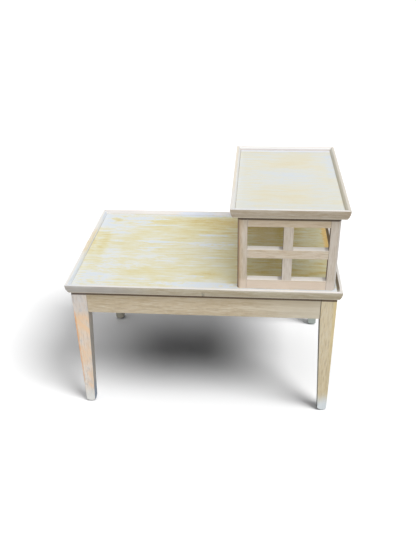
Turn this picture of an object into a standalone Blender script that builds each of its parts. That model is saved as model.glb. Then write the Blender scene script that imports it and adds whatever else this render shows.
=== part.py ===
"""Step end table in limed oak: a low table on tapered legs, with a small raised tray on its
right end that two open lattices carry. Every board, strip, bar and fastener is its own object.

Units are metres. +Z is up, +X is to the right and the front faces -Y. The origin lies on the
floor under the middle of the low table.
"""

import math

import bmesh
import bpy
from mathutils import Matrix, Vector

# Overall sizes
TABLE_WIDTH = 0.711
TABLE_DEPTH = 0.470
LOWER_HEIGHT = 0.400  # floor to the top of the low table's rim
TRAY_INSET = 0.0085  # from the low rim's front and back to the tray's
CLEARANCE = 0.0003  # gap between pieces that touch

# Rim moulding and the tongue that holds each board in it
RIM_HEIGHT = 0.025
RIM_LIP = 0.008  # how far the rim stands above its board
RIM_FLAT = 0.0065  # width of the flat top
RIM_SLOPE = 0.0055  # plan width of the slope from the flat top down to the board
RIM_UNDERCUT = 0.0065  # how far the outer face curves in at its foot
RIM_EASE = 0.0015  # rounding along the top edges
RIM_CURVE_STEPS = 5
TONGUE_THICKNESS = 0.005
TONGUE_LENGTH = 0.004

# Legs, square at the top and tapered on the two inner faces
LEG_INSET = 0.011  # from the rim's outer edge to the leg's outer faces
LEG_TOP = 0.040
LEG_FOOT = 0.025
LEG_EASE = 0.002
FOOT_EASE = 0.003

# Aprons and their tenons
APRON_HEIGHT = 0.063
APRON_THICKNESS = 0.019
APRON_SETBACK = 0.001  # from the leg's outer face to the apron's
APRON_EASE = 0.0015
APRON_TENON_THICKNESS = 0.008
APRON_TENON_SHOULDER = 0.008  # above and below the tenon
MORTISE_WALL = 0.005  # wood left between the two mortises of a leg

# Corner blocks and their screws
BLOCK_THICKNESS = 0.020
BLOCK_HEIGHT = 0.040
LEG_SCREW_BITE = 0.018  # depth of the long screw in the leg
TOP_SCREW_BITE = 0.010  # depth of the upright screws in the lower top
TOP_SCREW_SPREAD = 0.018  # from the block's middle to each upright screw
SCREW_RADIUS = 0.0022
SCREW_POINT = 0.005
SCREW_HEAD_RADIUS = 0.0042
SCREW_HEAD_HEIGHT = 0.0026
SCREW_HEAD_EDGE = 0.001  # height of the head's straight edge, below its dome
SCREW_CROWN_RADIUS = 0.0025  # flat middle of the dome
SCREW_SIDES = 10

# Lattices under the tray
LATTICE_SIDE_INSET = 0.018  # from the tray's rim to the lattice, left and right
LATTICE_SETBACK = 0.015  # from the tray's rim to the lattice's outer face
LATTICE_THICKNESS = 0.020
LATTICE_EASE = 0.001
PANE_WIDTH = 0.088
PANE_HEIGHT = 0.062
STILE_WIDTH = 0.024
STILE_ROUND = 0.007  # rounding of the stiles' outer edges
STILE_ROUND_STEPS = 4
RAIL_HEIGHT = 0.027  # top and bottom rails
BAR_WIDTH = 0.024  # muntin and cross rail
LATTICE_TENON_THICKNESS = 0.008
LATTICE_TENON_LENGTH = 0.012
LATTICE_TENON_SHOULDER = 0.004

# Dowels between the lattices and the two boards
DOWEL_RADIUS = 0.004
DOWEL_IN_BOARD = 0.009
DOWEL_IN_RAIL = 0.018
DOWEL_CHAMFER = 0.001
DOWEL_SIDES = 12

TENON_EASE = 0.001
CORNER_STEPS = 2
CUT_MARGIN = 0.003  # how far a cutter runs out past the piece it cuts

# Finishes: linear colour, roughness, metallic value
LIMED_TOP = ((0.72, 0.68, 0.52), 0.45, 0.0)
LIMED_RIM = ((0.58, 0.52, 0.41), 0.50, 0.0)
LIMED_FRAME = ((0.52, 0.46, 0.35), 0.50, 0.0)
LIMED_LATTICE = ((0.55, 0.48, 0.38), 0.50, 0.0)
RAW_WOOD = ((0.45, 0.32, 0.19), 0.70, 0.0)
SCREW_STEEL = ((0.42, 0.40, 0.37), 0.40, 1.0)

# Sizes that follow from the ones above
RIM_WIDTH = RIM_FLAT + RIM_SLOPE
LOWER_SURFACE = LOWER_HEIGHT - RIM_LIP
LATTICE_WIDTH = 2 * (STILE_WIDTH + PANE_WIDTH) + BAR_WIDTH
LATTICE_HEIGHT = 2 * (RAIL_HEIGHT + PANE_HEIGHT) + BAR_WIDTH
TRAY_WIDTH = LATTICE_WIDTH + 2 * LATTICE_SIDE_INSET
TRAY_DEPTH = TABLE_DEPTH - 2 * TRAY_INSET
TRAY_X = (TABLE_WIDTH - TRAY_WIDTH) / 2  # the tray is flush with the rim on the right
UPPER_HEIGHT = LOWER_SURFACE + LATTICE_HEIGHT + RIM_HEIGHT  # floor to the top of the tray's rim
FRAME_TOP = LOWER_HEIGHT - RIM_HEIGHT - CLEARANCE
APRON_BOTTOM = LOWER_HEIGHT - RIM_HEIGHT - APRON_HEIGHT
TONGUE_MIDDLE = -(RIM_LIP + RIM_HEIGHT) / 2  # below the rim's top
FRAME_WIDTH = TABLE_WIDTH - 2 * LEG_INSET
FRAME_DEPTH = TABLE_DEPTH - 2 * LEG_INSET
APRON_TENON_REACH = APRON_SETBACK + (APRON_THICKNESS + APRON_TENON_THICKNESS) / 2
APRON_TENON_LENGTH = LEG_TOP - APRON_TENON_REACH - MORTISE_WALL


def clear_scene():
    for obj in list(bpy.data.objects):
        bpy.data.objects.remove(obj, do_unlink=True)


def turned_place(x, y, z, degrees):
    """Place of a piece that is turned about +Z."""
    return Matrix.Translation((x, y, z)) @ Matrix.Rotation(math.radians(degrees), 4, "Z")


def sides_of(width, depth, height):
    """Name, place and length of the four sides, each seen from outside as the front is."""
    return (
        ("front", turned_place(0, -depth / 2, height, 0), width),
        ("right", turned_place(width / 2, 0, height, 90), depth),
        ("back", turned_place(0, depth / 2, height, 180), width),
        ("left", turned_place(-width / 2, 0, height, 270), depth),
    )


def corners_of(width, depth):
    """Name and place of the four corners, each turned so that +X and +Y run inwards."""
    return (
        ("front_left", turned_place(-width / 2, -depth / 2, 0, 0)),
        ("front_right", turned_place(width / 2, -depth / 2, 0, 90)),
        ("back_right", turned_place(width / 2, depth / 2, 0, 180)),
        ("back_left", turned_place(-width / 2, depth / 2, 0, 270)),
    )


def rectangle(low, high):
    """The four corners of a rectangle, anticlockwise."""
    return [low, (high[0], low[1]), high, (low[0], high[1])]


def rounded_rectangle(low, high, radii, steps):
    """Outline of a rectangle, anticlockwise, with one rounding radius for each corner."""
    outline = []
    inward = ((1, 1), (-1, 1), (-1, -1), (1, -1))
    for k, (corner, radius) in enumerate(zip(rectangle(low, high), radii)):
        centre_a = corner[0] + inward[k][0] * radius
        centre_b = corner[1] + inward[k][1] * radius
        for step in range(steps + 1):
            angle = math.radians(180 + 90 * (k + step / steps))
            outline.append((centre_a + radius * math.cos(angle), centre_b + radius * math.sin(angle)))
    return outline


def mesh_from(name, bm):
    bmesh.ops.recalc_face_normals(bm, faces=bm.faces)
    mesh = bpy.data.meshes.new(name)
    bm.to_mesh(mesh)
    bm.free()
    return mesh


def add_loft(bm, sections):
    """Closed solid through outlines that all have the same number of points."""
    rings = [[bm.verts.new(point) for point in section] for section in sections]
    for ring, following in zip(rings, rings[1:]):
        for i in range(len(ring)):
            j = (i + 1) % len(ring)
            bm.faces.new((ring[i], ring[j], following[j], following[i]))
    bm.faces.new(rings[0][::-1])
    bm.faces.new(rings[-1])


def bar_mesh(name, axis, stations, steps=CORNER_STEPS):
    """Bar along X or Z; each station is its distance, two corners of the section and the radii."""
    sections = []
    for distance, low, high, radii in stations:
        outline = rounded_rectangle(low, high, radii, steps)
        if axis == "X":
            sections.append([(distance, a, b) for a, b in outline])
        else:
            sections.append([(a, b, distance) for a, b in outline])
    bm = bmesh.new()
    add_loft(bm, sections)
    return mesh_from(name, bm)


def tenoned_mesh(name, axis, body, tenon):
    """Bar with a tenon on each end; body and tenon are boxes, and the tenon is the longer one."""
    along = 0 if axis == "X" else 2
    across = (1, 2) if axis == "X" else (0, 1)

    def section(box):
        return tuple(tuple(corner[k] for k in across) for corner in box["corners"]) + (box["radii"],)

    stations = []
    for end in (0, 1):
        tip = (tenon["corners"][end][along], *section(tenon))
        root = (body["corners"][end][along], *section(tenon))
        shoulder = (body["corners"][end][along], *section(body))
        stations += [tip, root, shoulder] if end == 0 else [shoulder, root, tip]
    return bar_mesh(name, axis, stations)


def box(low, high, radius):
    return {"corners": (low, high), "radii": (radius,) * 4}


def tenon_ends(body, tenon, axis):
    """The two stretches of a tenoned bar's tenon that stand out of its body."""
    along = 0 if axis == "X" else 2
    (low, high), (body_low, body_high) = tenon["corners"], body["corners"]
    near_high = list(high)
    near_high[along] = body_low[along]
    far_low = list(low)
    far_low[along] = body_high[along]
    return ((low, tuple(near_high)), (tuple(far_low), high))


def add_grown_box(bm, place, low, high):
    """A mortise or notch cutter: a box that is the clearance larger on every side."""
    grow = CLEARANCE
    bottom = rectangle((low[0] - grow, low[1] - grow), (high[0] + grow, high[1] + grow))
    sections = [[(a, b, z) for a, b in bottom] for z in (low[2] - grow, high[2] + grow)]
    add_loft(bm, [[place @ Vector(point) for point in section] for section in sections])


def add_turned(bm, place, profile, sides):
    """Round solid about the local +Z, from (radius, height) points that start and end on the axis."""
    heights = [height for radius, height in profile]
    rings = []
    for radius, height in profile[1:-1]:
        angles = [2 * math.pi * k / sides for k in range(sides)]
        ring = [place @ Vector((radius * math.cos(a), radius * math.sin(a), height)) for a in angles]
        rings.append([bm.verts.new(point) for point in ring])
    for ring, following in zip(rings, rings[1:]):
        for i in range(sides):
            j = (i + 1) % sides
            bm.faces.new((ring[i], ring[j], following[j], following[i]))
    for ring, height in ((rings[0], heights[0]), (rings[-1], heights[-1])):
        pole = bm.verts.new(place @ Vector((0, 0, height)))
        for i in range(sides):
            bm.faces.new((ring[i], ring[(i + 1) % sides], pole))


def turned_mesh(name, profile, sides):
    bm = bmesh.new()
    add_turned(bm, Matrix(), profile, sides)
    return mesh_from(name, bm)


def finish(obj, look):
    """Gives a piece its own material."""
    colour, roughness, metallic = look
    material = bpy.data.materials.new(obj.name + "_finish")
    material.use_nodes = True
    shader = material.node_tree.nodes["Principled BSDF"]
    shader.inputs["Base Color"].default_value = (*colour, 1.0)
    shader.inputs["Roughness"].default_value = roughness
    shader.inputs["Metallic"].default_value = metallic
    obj.material_slots[0].link = "OBJECT"
    obj.material_slots[0].material = material


def piece(name, mesh, look, place=Matrix()):
    obj = bpy.data.objects.new(name, mesh)
    bpy.context.scene.collection.objects.link(obj)
    obj.matrix_world = place
    if not mesh.materials:
        mesh.materials.append(None)
    finish(obj, look)
    return obj


def cutter(name, bm):
    obj = bpy.data.objects.new(name, mesh_from(name, bm))
    bpy.context.scene.collection.objects.link(obj)
    obj.hide_render = True
    obj.display_type = "WIRE"
    return obj


def cut(obj, *cutters):
    for tool in cutters:
        modifier = obj.modifiers.new(tool.name, "BOOLEAN")
        modifier.operation = "DIFFERENCE"
        modifier.solver = "EXACT"
        modifier.object = tool


def rim_profile():
    """Section of the rim: inward distance from its outer edge, and height from its top."""
    drop = RIM_HEIGHT - RIM_EASE
    radius = (RIM_UNDERCUT**2 + drop**2) / (2 * RIM_UNDERCUT)
    sweep = math.asin(drop / radius)
    points = []
    for step in range(RIM_CURVE_STEPS + 1):
        angle = sweep * (1 - step / RIM_CURVE_STEPS)
        points.append((radius - radius * math.cos(angle), -RIM_EASE - radius * math.sin(angle)))
    for step in range(1, CORNER_STEPS + 1):
        angle = math.radians(90 * step / CORNER_STEPS)
        points.append((RIM_EASE - RIM_EASE * math.cos(angle), RIM_EASE * math.sin(angle) - RIM_EASE))
    slope = Vector((RIM_SLOPE, -RIM_LIP)).normalized() * RIM_EASE / 2
    points.append((RIM_FLAT - RIM_EASE / 2, 0))
    points.append((RIM_FLAT + slope.x, slope.y))
    points.append((RIM_WIDTH, -RIM_LIP))
    groove_top = TONGUE_MIDDLE + TONGUE_THICKNESS / 2 + CLEARANCE
    groove_bottom = TONGUE_MIDDLE - TONGUE_THICKNESS / 2 - CLEARANCE
    points.append((RIM_WIDTH, groove_top))
    points.append((RIM_WIDTH - TONGUE_LENGTH, groove_top))
    points.append((RIM_WIDTH - TONGUE_LENGTH, groove_bottom))
    points.append((RIM_WIDTH, groove_bottom))
    points.append((RIM_WIDTH, -RIM_HEIGHT))
    return points


def rim_mesh(name, length):
    """Strip along X with mitred ends, its outer face at y = 0 and its top at z = 0."""
    mitre_gap = CLEARANCE / math.sqrt(2)
    bm = bmesh.new()
    ends = []
    for side in (-1, 1):
        ends.append([(side * (length / 2 - u - mitre_gap), u, z) for u, z in rim_profile()])
    add_loft(bm, ends)
    return mesh_from(name, bm)


def make_rim(level, width, depth, x, height):
    meshes = {}
    for side, place, length in sides_of(width, depth, height):
        if length not in meshes:
            meshes[length] = rim_mesh(f"{level}_rim", length)
        piece(f"{level}_rim_{side}", meshes[length], LIMED_RIM, Matrix.Translation((x, 0, 0)) @ place)


def make_board(level, width, depth, x, height):
    """Board with a tongue all round that sits in the rim's groove."""
    half_x = width / 2 - RIM_WIDTH - CLEARANCE
    half_y = depth / 2 - RIM_WIDTH - CLEARANCE
    tongue_bottom = TONGUE_MIDDLE - TONGUE_THICKNESS / 2
    tongue_top = TONGUE_MIDDLE + TONGUE_THICKNESS / 2
    layers = (
        (-RIM_HEIGHT, 0),
        (tongue_bottom, 0),
        (tongue_bottom, TONGUE_LENGTH),
        (tongue_top, TONGUE_LENGTH),
        (tongue_top, 0),
        (-RIM_LIP, 0),
    )
    sections = []
    for z, out in layers:
        outline = rectangle((-half_x - out, -half_y - out), (half_x + out, half_y + out))
        sections.append([(a, b, z) for a, b in outline])
    bm = bmesh.new()
    add_loft(bm, sections)
    place = Matrix.Translation((x, 0, height))
    return piece(f"{level}_top_board", mesh_from(f"{level}_top_board", bm), LIMED_TOP, place)


def leg_mesh():
    """Leg with its outer corner on the local axis and its inner faces tapered below the aprons."""

    def size_at(z):
        return LEG_FOOT + (LEG_TOP - LEG_FOOT) * min(z / APRON_BOTTOM, 1)

    eased = (LEG_EASE,) * 4
    foot = LEG_FOOT - FOOT_EASE
    stations = [(0, (FOOT_EASE, FOOT_EASE), (foot, foot), eased)]
    for z in (FOOT_EASE, APRON_BOTTOM, FRAME_TOP):
        stations.append((z, (0, 0), (size_at(z), size_at(z)), eased))
    return bar_mesh("leg", "Z", stations)


def apron_boxes(length):
    """Body and tenon of the apron on a side of the given length, its outer face at y = 0."""
    half = length / 2 - LEG_TOP - CLEARANCE
    reach = half + APRON_TENON_LENGTH
    tenon_y = (APRON_THICKNESS - APRON_TENON_THICKNESS) / 2
    body = box((-half, 0, APRON_BOTTOM), (half, APRON_THICKNESS, FRAME_TOP), APRON_EASE)
    tenon = box(
        (-reach, tenon_y, APRON_BOTTOM + APRON_TENON_SHOULDER),
        (reach, tenon_y + APRON_TENON_THICKNESS, FRAME_TOP - APRON_TENON_SHOULDER),
        TENON_EASE,
    )
    return body, tenon


def make_aprons():
    """The four aprons, and the cutter for their mortises in the legs."""
    meshes = {}
    mortises = bmesh.new()
    for side, place, length in sides_of(FRAME_WIDTH, FRAME_DEPTH, 0):
        body, tenon = apron_boxes(length)
        place = place @ Matrix.Translation((0, APRON_SETBACK, 0))
        if length not in meshes:
            meshes[length] = tenoned_mesh("apron", "X", body, tenon)
        piece(f"apron_{side}", meshes[length], LIMED_FRAME, place)
        for low, high in tenon_ends(body, tenon, "X"):
            add_grown_box(mortises, place, low, high)
    return cutter("apron_mortises", mortises)


def block_outline():
    """Corner block in plan: its ends on the aprons, and its long face just clear of the leg."""
    apron_face = APRON_SETBACK + APRON_THICKNESS + CLEARANCE
    outer = 2 * LEG_TOP + CLEARANCE * math.sqrt(2)
    inner = outer + BLOCK_THICKNESS * math.sqrt(2)
    return [
        (outer - apron_face, apron_face),
        (inner - apron_face, apron_face),
        (apron_face, inner - apron_face),
        (apron_face, outer - apron_face),
    ]


def block_middle():
    """Place of the block's middle, measured in from the leg's outer faces."""
    return LEG_TOP + (CLEARANCE + BLOCK_THICKNESS / 2) / math.sqrt(2)


def screw_profile(length):
    """Domed screw from its head to its point; height 0 is under the head."""
    return [
        (0, -SCREW_HEAD_HEIGHT),
        (SCREW_CROWN_RADIUS, -SCREW_HEAD_HEIGHT),
        (SCREW_HEAD_RADIUS, -SCREW_HEAD_EDGE),
        (SCREW_HEAD_RADIUS, 0),
        (SCREW_RADIUS, 0),
        (SCREW_RADIUS, length - SCREW_POINT),
        (0, length),
    ]


def plain_profile(radius, start, end):
    return [(0, start), (radius, start), (radius, end), (0, end)]


def make_corner_blocks():
    """The blocks, their screws, and the cutter for the screw holes."""
    bm = bmesh.new()
    outline = block_outline()
    add_loft(bm, [[(a, b, z) for a, b in outline] for z in (FRAME_TOP - BLOCK_HEIGHT, FRAME_TOP)])
    block_mesh = mesh_from("corner_block", bm)

    middle = block_middle()
    leg_length = BLOCK_THICKNESS + 2 * CLEARANCE + LEG_SCREW_BITE
    top_length = BLOCK_HEIGHT + 2 * CLEARANCE + TOP_SCREW_BITE
    head_out = middle + (BLOCK_THICKNESS / 2 + CLEARANCE) / math.sqrt(2)
    towards_leg = Matrix.Rotation(math.radians(225), 4, "Z") @ Matrix.Rotation(math.radians(90), 4, "Y")
    leg_seat = Matrix.Translation((head_out, head_out, FRAME_TOP - BLOCK_HEIGHT / 2)) @ towards_leg
    aside = TOP_SCREW_SPREAD / math.sqrt(2)
    head_z = FRAME_TOP - BLOCK_HEIGHT - CLEARANCE
    screws = [("leg_screw_{}", leg_seat, leg_length)]
    for number, step in ((1, aside), (2, -aside)):
        seat = Matrix.Translation((middle + step, middle - step, head_z))
        screws.append((f"top_screw_{{}}_{number}", seat, top_length))
    screw_meshes = {}
    for length in (leg_length, top_length):
        screw_meshes[length] = turned_mesh("screw", screw_profile(length), SCREW_SIDES)

    blocks = []
    holes = bmesh.new()
    for corner, place in corners_of(FRAME_WIDTH, FRAME_DEPTH):
        blocks.append(piece(f"corner_block_{corner}", block_mesh, RAW_WOOD, place))
        for name, seat, length in screws:
            piece(name.format(corner), screw_meshes[length], SCREW_STEEL, place @ seat)
            hole = plain_profile(SCREW_RADIUS + CLEARANCE, -CUT_MARGIN, length + CLEARANCE)
            add_turned(holes, place @ seat, hole, SCREW_SIDES)
    return blocks, cutter("screw_holes", holes)


def rail_boxes(low_z, high_z):
    """Body and tenon of a rail between the stiles."""
    half = LATTICE_WIDTH / 2 - STILE_WIDTH - CLEARANCE
    reach = half + LATTICE_TENON_LENGTH
    tenon_y = (LATTICE_THICKNESS - LATTICE_TENON_THICKNESS) / 2
    body = box((-half, 0, low_z), (half, LATTICE_THICKNESS, high_z), LATTICE_EASE)
    tenon = box(
        (-reach, tenon_y, low_z + LATTICE_TENON_SHOULDER),
        (reach, tenon_y + LATTICE_TENON_THICKNESS, high_z - LATTICE_TENON_SHOULDER),
        TENON_EASE,
    )
    return body, tenon


def muntin_boxes():
    """Body and tenon of the upright bar between the bottom and top rails."""
    low_z = RAIL_HEIGHT + CLEARANCE
    high_z = LATTICE_HEIGHT - RAIL_HEIGHT - CLEARANCE
    half = BAR_WIDTH / 2
    tenon_half = half - LATTICE_TENON_SHOULDER
    tenon_y = (LATTICE_THICKNESS - LATTICE_TENON_THICKNESS) / 2
    body = box((-half, 0, low_z), (half, LATTICE_THICKNESS, high_z), LATTICE_EASE)
    tenon = box(
        (-tenon_half, tenon_y, low_z - LATTICE_TENON_LENGTH),
        (tenon_half, tenon_y + LATTICE_TENON_THICKNESS, high_z + LATTICE_TENON_LENGTH),
        TENON_EASE,
    )
    return body, tenon


def stile_mesh(side):
    """Upright on the side -1 or 1, with its two outer edges well rounded."""
    outer = side * LATTICE_WIDTH / 2
    inner = outer - side * STILE_WIDTH
    low = (min(outer, inner), 0)
    high = (max(outer, inner), LATTICE_THICKNESS)
    if side < 0:
        radii = (STILE_ROUND, LATTICE_EASE, LATTICE_EASE, STILE_ROUND)
    else:
        radii = (LATTICE_EASE, STILE_ROUND, STILE_ROUND, LATTICE_EASE)
    ends = (CLEARANCE, LATTICE_HEIGHT - CLEARANCE)
    stations = [(z, low, high, radii) for z in ends]
    return bar_mesh("lattice_stile", "Z", stations, STILE_ROUND_STEPS)


def make_lattices():
    """The front and back lattices, bar by bar, and the cutter for their dowels' holes."""
    cross_low = (LATTICE_HEIGHT - BAR_WIDTH) / 2
    cross_high = (LATTICE_HEIGHT + BAR_WIDTH) / 2
    rails = {
        "top_rail": rail_boxes(LATTICE_HEIGHT - RAIL_HEIGHT, LATTICE_HEIGHT - CLEARANCE),
        "bottom_rail": rail_boxes(CLEARANCE, RAIL_HEIGHT),
        "cross_rail": rail_boxes(cross_low, cross_high),
    }
    rail_meshes = {rail: tenoned_mesh(f"lattice_{rail}", "X", *boxes) for rail, boxes in rails.items()}
    muntin_body, muntin_tenon = muntin_boxes()
    muntin_mesh = tenoned_mesh("lattice_muntin", "Z", muntin_body, muntin_tenon)
    stile_meshes = {side: stile_mesh(side) for side in (-1, 1)}

    half_bar = BAR_WIDTH / 2
    middle = LATTICE_THICKNESS / 2
    half_gap = CLEARANCE / 2
    out = CUT_MARGIN
    rail_notch = (
        (-half_bar, middle + half_gap, cross_low - out),
        (half_bar, LATTICE_THICKNESS + out, cross_high + out),
    )
    muntin_notch = (
        (-half_bar - out, -out, cross_low),
        (half_bar + out, middle - half_gap, cross_high),
    )

    dowel_x = half_bar + PANE_WIDTH / 2
    dowel_length = DOWEL_IN_BOARD + DOWEL_IN_RAIL
    dowel = [
        (0, 0),
        (DOWEL_RADIUS - DOWEL_CHAMFER, 0),
        (DOWEL_RADIUS, DOWEL_CHAMFER),
        (DOWEL_RADIUS, dowel_length - DOWEL_CHAMFER),
        (DOWEL_RADIUS - DOWEL_CHAMFER, dowel_length),
        (0, dowel_length),
    ]
    dowel_mesh = turned_mesh("dowel", dowel, DOWEL_SIDES)
    dowel_hole = plain_profile(DOWEL_RADIUS + CLEARANCE, -CLEARANCE, dowel_length + CLEARANCE)
    dowel_starts = (("base", -DOWEL_IN_BOARD), ("tray", LATTICE_HEIGHT - DOWEL_IN_RAIL))

    rail_mortises = bmesh.new()
    muntin_mortises = bmesh.new()
    rail_notches = bmesh.new()
    muntin_notches = bmesh.new()
    dowel_holes = bmesh.new()
    doweled = []
    stiles = []
    cross_rails = []
    muntins = []
    outer_y = TRAY_DEPTH / 2 - LATTICE_SETBACK
    for facing, turn in (("front", 0), ("back", 180)):
        name = f"{facing}_lattice_"
        front = 1 if facing == "front" else -1
        place = turned_place(TRAY_X, -front * outer_y, LOWER_SURFACE, turn)
        for label, side in (("left", -front), ("right", front)):
            stiles.append(piece(f"{name}stile_{label}", stile_meshes[side], LIMED_LATTICE, place))
            for level, start in dowel_starts:
                where = place @ Matrix.Translation((side * dowel_x, middle, start))
                piece(f"{level}_dowel_{facing}_{label}", dowel_mesh, RAW_WOOD, where)
                add_turned(dowel_holes, where, dowel_hole, DOWEL_SIDES)
        for rail, boxes in rails.items():
            bar = piece(name + rail, rail_meshes[rail], LIMED_LATTICE, place)
            (cross_rails if rail == "cross_rail" else doweled).append(bar)
            for low, high in tenon_ends(*boxes, "X"):
                add_grown_box(rail_mortises, place, low, high)
        muntins.append(piece(f"{name}muntin", muntin_mesh, LIMED_LATTICE, place))
        for low, high in tenon_ends(muntin_body, muntin_tenon, "Z"):
            add_grown_box(muntin_mortises, place, low, high)
        add_grown_box(rail_notches, place, *rail_notch)
        add_grown_box(muntin_notches, place, *muntin_notch)

    hole_cutter = cutter("dowel_holes", dowel_holes)
    cuts = (
        (stiles, cutter("rail_mortises", rail_mortises)),
        (doweled, cutter("muntin_mortises", muntin_mortises)),
        (doweled, hole_cutter),
        (cross_rails, cutter("rail_notches", rail_notches)),
        (muntins, cutter("muntin_notches", muntin_notches)),
    )
    for bars, tool in cuts:
        for bar in bars:
            cut(bar, tool)
    return hole_cutter


def main():
    clear_scene()
    make_rim("lower", TABLE_WIDTH, TABLE_DEPTH, 0, LOWER_HEIGHT)
    lower_board = make_board("lower", TABLE_WIDTH, TABLE_DEPTH, 0, LOWER_HEIGHT)
    make_rim("upper", TRAY_WIDTH, TRAY_DEPTH, TRAY_X, UPPER_HEIGHT)
    upper_board = make_board("upper", TRAY_WIDTH, TRAY_DEPTH, TRAY_X, UPPER_HEIGHT)
    apron_mortises = make_aprons()
    blocks, screw_holes = make_corner_blocks()
    dowel_holes = make_lattices()
    cut(lower_board, screw_holes, dowel_holes)
    cut(upper_board, dowel_holes)
    for block in blocks:
        cut(block, screw_holes)
    shared_leg = leg_mesh()
    for corner, place in corners_of(FRAME_WIDTH, FRAME_DEPTH):
        leg = piece(f"leg_{corner}", shared_leg, LIMED_FRAME, place)
        cut(leg, apron_mortises, screw_holes)


main()
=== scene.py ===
"""Looks of the step end table in limed oak: each wooden piece remodelled with its mouldings and
eased edges, with its own grain, whitewash and wear, on a white studio floor in soft light.

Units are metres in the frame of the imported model: +Z is up, +X is right and the front faces -Y.
"""

import math

import bmesh
import bpy
from mathutils import Matrix, Vector


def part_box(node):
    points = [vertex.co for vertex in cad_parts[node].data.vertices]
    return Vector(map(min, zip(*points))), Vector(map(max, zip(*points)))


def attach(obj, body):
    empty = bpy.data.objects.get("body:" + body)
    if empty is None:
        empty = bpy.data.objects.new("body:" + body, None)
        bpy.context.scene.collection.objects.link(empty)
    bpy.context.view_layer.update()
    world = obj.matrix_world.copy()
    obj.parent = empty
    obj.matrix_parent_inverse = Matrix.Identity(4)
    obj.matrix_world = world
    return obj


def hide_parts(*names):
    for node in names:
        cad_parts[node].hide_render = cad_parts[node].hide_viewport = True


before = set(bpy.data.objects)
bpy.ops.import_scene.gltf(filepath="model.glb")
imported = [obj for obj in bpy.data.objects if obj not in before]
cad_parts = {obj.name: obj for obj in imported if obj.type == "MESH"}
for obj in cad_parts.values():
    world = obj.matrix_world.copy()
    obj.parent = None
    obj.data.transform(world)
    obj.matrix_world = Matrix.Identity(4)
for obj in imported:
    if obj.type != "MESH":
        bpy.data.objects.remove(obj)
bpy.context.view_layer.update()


def screen(red, green, blue):
    """Linear colour of an 8-bit screen colour."""
    shares = [level / 255 for level in (red, green, blue)]
    linear = [s / 12.92 if s <= 0.04045 else ((s + 0.055) / 1.055) ** 2.4 for s in shares]
    return (*linear, 1.0)


# Camera, as the photograph was taken
IMAGE_SIZE = (416, 555)
FOCAL_PIXELS = 624.95
SENSOR_WIDTH = 36.0
CAMERA_PLACE = (0.1352, -1.5760, 1.2340)
CAMERA_PITCH = 0.5354  # radians below level
CAMERA_YAW = 0.0876  # radians to the left
CAMERA_ROLL = -0.0192

# Light: on the table a soft key lamp above the front right, an overhead sky and low fills; on the
# floor two lamps of its own, whose shadow is the one in the photograph
LAMPS = (
    # name, what it lights, direction towards the lamp, spread in degrees, share of full white
    ("key_lamp", "table", (0.22, -0.45, 0.86), 62, 0.55),
    ("sky_lamp", "table", (0.00, -0.05, 1.00), 120, 0.34),
    ("front_fill", "table", (-0.10, -0.98, 0.15), 50, 0.17),
    ("back_fill", "table", (0.20, 0.96, 0.15), 50, 0.15),
    ("floor_key", "floor", (0.656, -0.375, 1.00), 32, 0.93),
    ("floor_sky", "floor", (-0.09, -0.03, 1.00), 59, 0.40),
)
DOME_LIGHT = (0.0565, 0.0590, 0.0635, 1)  # from all round, cool enough to keep the shadow grey
FLOOR_SIZE = 60.0
FLOOR_SEEN = 1.0  # the floor's white where it is looked at
FLOOR_BOUNCE = 0.42  # its grey where it only sends light back to the table

# Rim moulding
RIM_HEIGHT = 0.025
RIM_WIDTH = 0.012
RIM_LIP = 0.008  # how far the rim stands above its board
RIM_FLAT = 0.0065  # width of the flat top
RIM_UNDERCUT = 0.0065  # how far the outer face curves in at its foot
RIM_EASE = 0.0012
RIM_PASSES = 9  # strokes of the plane that round the outer face
CRACK_X = 0.002  # a hairline crack in the front rim
CRACK_WIDTH = 0.0014
CRACK_DEPTH = 0.003
MITRE_GAP = 0.0002
MITRE_EASE = 0.0003
TONGUE_LENGTH = 0.004
TONGUE_THICKNESS = 0.005
BOARD_EASE = 0.0005
FIT_GAP = 0.0003

# Legs and aprons
LEG_TOP = 0.040
LEG_FOOT = 0.025
LEG_EASE = 0.0022
FOOT_BALL = (0.020, 0.0185)  # radius and height of the ball that the foot's dome is part of
BALL_SEGMENTS = 48
APRON_EASE = 0.0015
APRON_TENON = (0.008, 0.008)  # thickness, and shoulder above and below
APRON_TENON_LENGTH = 0.0205
OPEN_JOINT = 0.0007  # the front apron has shrunk from the right leg by this much

# Lattice bars
STILE_ROUND = 0.0098
BAR_EASE = 0.0011
LATTICE_TENON = (0.008, 0.004)  # thickness, and shoulder
LATTICE_TENON_LENGTH = 0.012

# Screws
SCREW_HEAD_RADIUS = 0.0042
SCREW_HEAD_HEIGHT = 0.0026
SCREW_SHANK_RADIUS = 0.0022
SCREW_SIDES = 32
SCREW_DOME = 0.8  # share of the head's height that is rounded
SCREW_TIP = 0.1  # share of the shank's width that is left at its point
SCREW_SLOT = (0.0009, 0.0010)  # width and depth
SLOT_TURN = 70  # degrees from one slot to the next
LEG_SCREW_LENGTH = 0.0386  # under its head

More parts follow.
